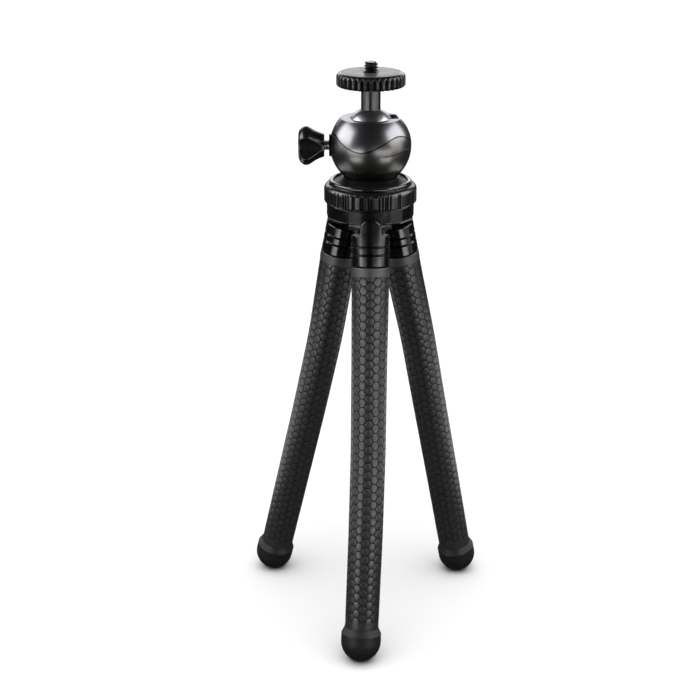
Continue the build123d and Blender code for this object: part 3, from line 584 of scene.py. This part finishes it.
def cut_grooves(bm, azimuths, least_radius, width, depth, stop, run_out):
    """Presses grooves with round ends into a turned piece's side, and notes how deep."""
    pressed = bm.verts.layers.float.new("pressed")
    for vert in bm.verts:
        reach = Vector((vert.co.x, vert.co.y)).length
        if reach < least_radius:
            continue
        azimuth = degrees(atan2(vert.co.y, vert.co.x))
        away = min(abs((azimuth - groove + 180) % 360 - 180) for groove in azimuths)
        across = radians(away) * reach / width
        over = max(0, vert.co.z - stop) / run_out
        share = 1 - across * across - over * over
        if share > 0:
            vert[pressed] = sqrt(share)
            vert.co.x *= 1 - depth * vert[pressed] / reach
            vert.co.y *= 1 - depth * vert[pressed] / reach


# %% Turn the flange, the lock ring, the wheel and its pad
flange_base = high("base_flange") - 3.7 * mm
flange_outline = [(3.05, -6.4), (9.4, -6.4), (9.4, 0), (18.3, 0), (18.62, 0.3)]
flange_outline += arc_points((17.7, 0.75), 1.0, -10, 140, 8)
flange_outline += arc_points((20.4, 11.0), 10.8, 250, 229, 8)
flange_outline += [(12.4, 3.7), (0, 3.7), (0, 3.1), (3.05, 3.1), (3.05, -6.4)]
flange = finish_piece(
    spin_outline(scaled(flange_outline, flange_base), {0.15 * mm: (4,)}), "flange",
    on_hub_axis, 45,
)
dress(flange, "head", "flange_metal", "base_flange")

ring_base = low("lock_ring")
ring_outline = [(15.3, 1.7), (19.45, 1.7), (19.45, 0), (20.7, 0), (21.1, 0.4)]
ring_outline += [(21.1, 0.4 + 0.75 * row) for row in range(1, 8)]
ring_outline += arc_points((18.6, 5.65), 2.5, 6, 78, 8)
ring_outline += [(18.9, 7.9), (15.3, 7.9), (15.3, 1.7)]
groove_pattern = (
    -60.5, -50.5, -44.3, -36.2, -32.5, -28.9, -23.2, -21.0, -13.0, -10.3, -3.3, 0.6, 10.4, 14.7,
    18.3, 21.1, 25.0, 36.5, 39.0,
)
ring_grooves = [angle - 90 + third for third in (0, 120, 240) for angle in groove_pattern]
bm = spin_outline(scaled(ring_outline, ring_base), steps=720)
cut_grooves(
    bm, ring_grooves, least_radius=19.6 * mm, width=0.46 * mm, depth=0.55 * mm,
    stop=ring_base + 5.6 * mm, run_out=1.3 * mm,
)
ring = finish_piece(bm, "ribbed_ring", on_hub_axis, 50)
dress(ring, "pan_ring", "matte_black", "lock_ring")

wheel_base = low("platform_wheel")
wheel_outline = [(5.1, 0.85), (6.3, 0.85), (6.3, 0), (14.1, 0), (14.9, 0.3), (15.3, 0.75)]
wheel_outline += [(15.45, 1.3 + 0.6 * row) for row in range(5)]
wheel_outline += arc_points((13.25, 4.1), 2.2, 8, 80, 8)
wheel_outline += [(13.05, 6.3), (13.05, 5.1), (5.1, 5.1), (5.1, 0.85)]
wheel_flutes = 34
wheel_grooves = [360 * number / wheel_flutes for number in range(wheel_flutes)]
bm = spin_outline(scaled(wheel_outline, wheel_base), steps=wheel_flutes * 12)
cut_grooves(
    bm, wheel_grooves, least_radius=13.9 * mm, width=1.05 * mm, depth=0.75 * mm,
    stop=wheel_base + 4.0 * mm, run_out=1.45 * mm,
)
wheel = finish_piece(bm, "fluted_wheel", on_hub_axis, 50)
dress(wheel, "platform", "matte_black", "platform_wheel")

pad_base = low("platform_pad")
pad_outline = [(3.45, 0), (13.0, 0), (13.0, 1.2), (3.45, 1.2), (3.45, 0)]
pad = finish_piece(
    spin_outline(scaled(pad_outline, pad_base), {0.25 * mm: (2, 3)}), "soft_pad", on_hub_axis, 45,
)
dress(pad, "platform", "pad_rubber", "platform_pad")

# %% [markdown]
# ## Ferrules
# A ferrule turns in its socket, and its round end lies in the sleeve, where the leg first bends. A
# ball there keeps the sleeve filled at any angle, which a flat end wouldn't.

# %% Turn the ferrules
for leg in legs:
    swivel = joints[f"{leg}_swivel"]
    down = Vector(swivel["axis"])
    down = down if down.z < 0 else -down
    first_bend = Vector(joints[f"{leg}_bend_1"]["pos_m"])
    outline = [(0, -15.1), (5.95, -15.1), (5.95, -4.35), (7.35, -4.35), (7.35, -0.2)]
    outline += arc_points((0, 0), 7.8, 0, 90, 12)
    bm = spin_outline(scaled(outline, 0))
    piece = finish_piece(bm, f"{leg}_swivel_end", frame_along(first_bend, down, up))
    dress(piece, f"{leg}_root", "ferrule_metal", f"{leg}_ferrule")

# %% [markdown]
# ## The skin of the legs
# Each leg wears one long rubber sleeve covered with raised six-sided scales in upright columns,
# each column half a scale lower than its neighbour. It could be a bump, but the scales show in the
# leg's outline, so they are modelled. The sheet is laid out flat as a honeycomb, each cell is inset
# three times for the valley, the wall and the crown of a scale, and the sheet is then rolled round
# the line of the leg. The sleeve is cut in mid segment into one piece for each joint, and the pieces
# stay fixed in place.

# %% Lay out a flat honeycomb
scale_columns = 16
scale_pitch = 3.95 * mm
skin_radius = 8.5 * mm
column_step = tau * skin_radius / scale_columns
scale_rise = 0.38 * mm
scale_insets = ((0.13 * mm, 0), (0.10 * mm, 0.32 * mm), (0.35 * mm, 0.06 * mm))
collar_height = 3.6 * mm
collar_share = 0.9


def one_cell():
    """A bmesh with one six-sided cell, its points to the sides and each of its edges in two."""
    bm = bmesh.new()
    bmesh.ops.create_circle(bm, cap_ends=True, segments=6, radius=1)
    bmesh.ops.rotate(bm, cent=(0, 0, 0), matrix=Matrix.Rotation(pi / 6, 3, "Z"), verts=bm.verts)
    bmesh.ops.scale(bm, vec=(column_step / 1.5, scale_pitch / sqrt(3), 1), verts=bm.verts)
    bmesh.ops.subdivide_edges(bm, edges=bm.edges, cuts=1)
    return bm


def honeycomb(first_row, rows):
    """Columns of cells, merged to a sheet. X runs round the leg and Y runs up it."""
    bm = one_cell()
    cell = bm.verts[:] + bm.edges[:] + bm.faces[:]
    for column in range(scale_columns):
        for row in range(first_row, first_row + rows):
            drop = row + (column % 2) / 2
            made = bmesh.ops.duplicate(bm, geom=cell)["geom"]
            moved = [item for item in made if isinstance(item, bmesh.types.BMVert)]
            bmesh.ops.translate(bm, vec=(column * column_step, -drop * scale_pitch, 0), verts=moved)
    bmesh.ops.delete(bm, geom=cell, context="VERTS")
    bmesh.ops.remove_doubles(bm, verts=bm.verts, dist=scale_pitch / 100)
    return bm


def raise_scales(bm, collar):
    """Insets each cell to a valley, a wall and a crown, and levels what lies below a collar."""
    cells = bm.faces[:]
    for thickness, depth in scale_insets:
        bmesh.ops.inset_individual(
            bm, faces=cells, thickness=thickness, depth=depth, use_even_offset=True,
        )
    crown = bm.verts.layers.float.new("crown")
    for vert in bm.verts:
        if vert.co.y < collar:
            vert.co.z = collar_share * scale_rise
        vert[crown] = vert.co.z / scale_rise
    return bm


# %% Follow the line of a leg
class LegLine:
    """The middle line of a leg, from its first bend down to its foot, with its corners rounded."""

    corner = 9 * mm
    lead = 10 * mm
    end_height = 9.3 * mm

    def __init__(self, leg):
        bends = [joints[f"{leg}_bend_{number}"] for number in range(1, 5)]
        self.points = [Vector(bend["pos_m"]) for bend in bends]
        foot_low, foot_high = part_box(f"{leg}_foot")
        socket_axis = Vector(joints[f"{leg}_swivel"]["axis"])
        self.aside = -Vector(bends[0]["axis"])
        middle = (foot_low + foot_high) / 2
        self.points.append(Vector((middle.x, middle.y, 0)) + up * self.end_height)
        self.points.insert(0, self.points[0] - socket_axis * self.lead)
        self.lengths = [(b - a).length for a, b in zip(self.points, self.points[1:])]

    def at(self, distance):
        """The point and the direction at a distance below the first bend."""
        start = -self.lengths[0]
        for number, length in enumerate(self.lengths):
            if distance < start + length or number == len(self.lengths) - 1:
                break
            start += length
        first, second = self.points[number], self.points[number + 1]
        along = (second - first).normalized()
        point = first + along * (distance - start)
        for corner, distance_there in ((number, start), (number + 1, start + length)):
            gap = distance - distance_there
            if 0 < corner < len(self.points) - 1 and abs(gap) < self.corner:
                before = (self.points[corner] - self.points[corner - 1]).normalized()
                after = (self.points[corner + 1] - self.points[corner]).normalized()
                share = (gap + self.corner) / (2 * self.corner)
                low_end = self.points[corner] - before * self.corner
                point = low_end + before * self.corner * 2 * share
                point += (after - before) * self.corner * share * share
                along = before.lerp(after, share).normalized()
        return point, along


sleeve_taper = (
    (-20 * mm, 8.65), (0, 8.62), (40 * mm, 8.25), (80 * mm, 8.12), (121 * mm, 8.0),
    (170 * mm, 7.85),
)


def sleeve_radius(distance):
    """The radius over the scales, which narrows down the leg."""
    for (start, first), (end, second) in zip(sleeve_taper, sleeve_taper[1:]):
        if distance <= end:
            return (first + (second - first) * (distance - start) / (end - start)) * mm
    return sleeve_taper[-1][1] * mm


def roll_round_leg(bm, line):
    """Rolls a flat sheet round the line of a leg: X becomes the turn and Y the way down."""
    for vert in bm.verts:
        turn = vert.co.x / skin_radius
        point, along = line.at(-vert.co.y)
        side = (line.aside - along * line.aside.dot(along)).normalized()
        front = side.cross(along)
        reach = sleeve_radius(-vert.co.y) - scale_rise + vert.co.z
        vert.co = point + (side * cos(turn) + front * sin(turn)) * reach
    bmesh.ops.remove_doubles(bm, verts=bm.verts, dist=0.01 * mm)


# %% Cut and place the sleeves
def cut_level(bm, height, side):
    """Cuts a flat sheet at a height and keeps the part on one side."""
    bmesh.ops.bisect_plane(
        bm, geom=bm.verts[:] + bm.edges[:] + bm.faces[:], plane_co=(0, height, 0),
        plane_no=(0, side, 0), clear_outer=True,
    )


skin_start = -0.3 * mm
foot_overlap = 7.0 * mm
blend_reach = 9 * mm
first_blend_extra = 4 * mm
for leg in legs:
    line = LegLine(leg)
    skin_end = sum(line.lengths[1:]) - foot_overlap
    segment = line.lengths[1]
    middles = [skin_start] + [segment * (number + 0.5) for number in range(3)] + [skin_end]
    for number in range(4):
        is_first, is_last = number == 0, number == 3
        first_row = int(middles[number] / scale_pitch + 0.75) - (1 if is_first else 0)
        last_row = int(middles[number + 1] / scale_pitch + 0.75) + (2 if is_last else 0)
        bm = raise_scales(honeycomb(first_row, last_row - first_row), collar_height - skin_end)
        if is_first:
            cut_level(bm, -skin_start, 1)
        if is_last:
            cut_level(bm, -skin_end, -1)
        roll_round_leg(bm, line)
        piece = finish_piece(bm, f"{leg}_skin_{number + 1}", smooth_below=50)
        bend = segment * number
        start, _ = line.at(max(bend - blend_reach, 0))
        end, _ = line.at(bend + blend_reach + (first_blend_extra if is_first else 0))
        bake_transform(piece)
        dress(piece, None, "sleeve_rubber", f"{leg}_sleeve_{number + 1}")

# %% [markdown]
# ## Floor, light and camera
# The tripod stands on a plain pale floor under one wide soft sun. Polished black shows hardly more
# than what it mirrors, so cards of light stand round the tripod, each between two heights, and draw
# the highlights on the housing, the sockets, the bands and the legs. The camera looks down a little
# from the front, at the angle of the photograph. The world looks white to the camera, but lights
# little, because a bright one would turn all the blacks grey.

# %% Set the stage
bm = bmesh.new()
bmesh.ops.create_grid(bm, x_segments=1, y_segments=1, size=6)
floor = finish_piece(bm, "floor")
floor.visible_glossy = False
paper = Finish("paper", roughness=0.9)
paper_spots = paper.spots(50 * mm)
paper.set(base_color=paper.blend(paper_spots, (0.86, 0.86, 0.86), (0.88, 0.88, 0.88)))
floor.data.materials.append(paper.material)

world = bpy.data.worlds.new("studio")
bpy.context.scene.world = world
world.use_nodes = True
background = world.node_tree.nodes["Background"]
background.inputs["Color"].default_value = (1, 1, 1, 1)
sight = world.node_tree.nodes.new("ShaderNodeLightPath")
strength = world.node_tree.nodes.new("ShaderNodeMapRange")
strength.inputs["To Min"].default_value = 0.04
strength.inputs["To Max"].default_value = 1.0
world.node_tree.links.new(sight.outputs["Is Camera Ray"], strength.inputs["Value"])
world.node_tree.links.new(strength.outputs["Result"], background.inputs["Strength"])


def add_light(name, lamp, place, target):
    """A light at a place that faces a target."""
    light = bpy.data.objects.new(name, lamp)
    light.location = place
    light.rotation_euler = (Vector(target) - Vector(place)).to_track_quat("-Z", "Y").to_euler()
    bpy.context.scene.collection.objects.link(light)
    return light


def card(name, first, last, bottom, top, radiance, distance):
    """A card of light between two azimuths and two heights, seen only in polished pieces."""
    azimuth, half = radians((first + last) / 2), radians(abs(last - first) / 2)
    lamp = bpy.data.lights.new(name, "AREA")
    lamp.shape, lamp.size, lamp.size_y = "RECTANGLE", 2 * distance * tan(half), top - bottom
    lamp.energy = radiance * pi * lamp.size * lamp.size_y
    level = up * (top + bottom) / 2
    place = hub_axis + Vector((cos(azimuth), sin(azimuth), 0)) * distance + level
    light = add_light(name, lamp, place, hub_axis + level)
    light.visible_camera = light.visible_diffuse = False


# %% Hang the sun and the cards
overhead = bpy.data.lights.new("overhead", "SUN")
overhead.energy, overhead.angle = 4.0, radians(85)
add_light("overhead", overhead, (0, -0.3, 1.5), (0, 0, 0)).visible_glossy = False
around, close_by, far_back = 0.36, 0.17, 0.7
cards = (
    ("left_front", -154, -112, 0.142, 0.20, 6.8, around),
    ("right_front", -80, -30, 0.142, 0.205, 5.4, around),
    ("left_side", -206, -150, 0.27, 0.56, 6.5, around),
    ("right_side", -36, 27, 0.27, 0.56, 5.5, around),
    ("left_mid", -190, -154, 0.175, 0.27, 2.2, around),
    ("right_mid", -30, 6, 0.16, 0.27, 2.6, around),
    ("left_near", -228, -165, 0.0, 0.105, 1.4, close_by),
    ("right_near", -15, 48, 0.0, 0.105, 1.5, close_by),
    ("left_low", -146, -116, 0.085, 0.125, 0.5, around),
    ("right_low", -36, 0, 0.085, 0.125, 0.9, around),
    ("left_ground", -150, -118, 0.0, 0.07, 6.0, around),
    ("right_ground", -62, -28, 0.0, 0.07, 6.0, around),
    ("back", 60, 120, 0.31, 0.61, 2.2, far_back),
)
for settings in cards:
    card(*settings)
print("Hung", len(cards), "cards of light")

# %% Set up the camera
camera_aside, camera_distance, camera_height = 9.28 * mm, 652.41 * mm, 379.98 * mm
camera_tilt = radians(69.286)
camera = bpy.data.objects.new("camera", bpy.data.cameras.new("camera"))
camera.location = (hub_x - camera_aside, hub_y - camera_distance, camera_height)
camera.rotation_euler = (camera_tilt, 0, 0)
camera.data.lens = 75.6
camera.data.clip_start, camera.data.clip_end = 0.01, 20
bpy.context.scene.collection.objects.link(camera)
bpy.context.scene.camera = camera
bpy.context.scene.view_settings.view_transform = "Standard"
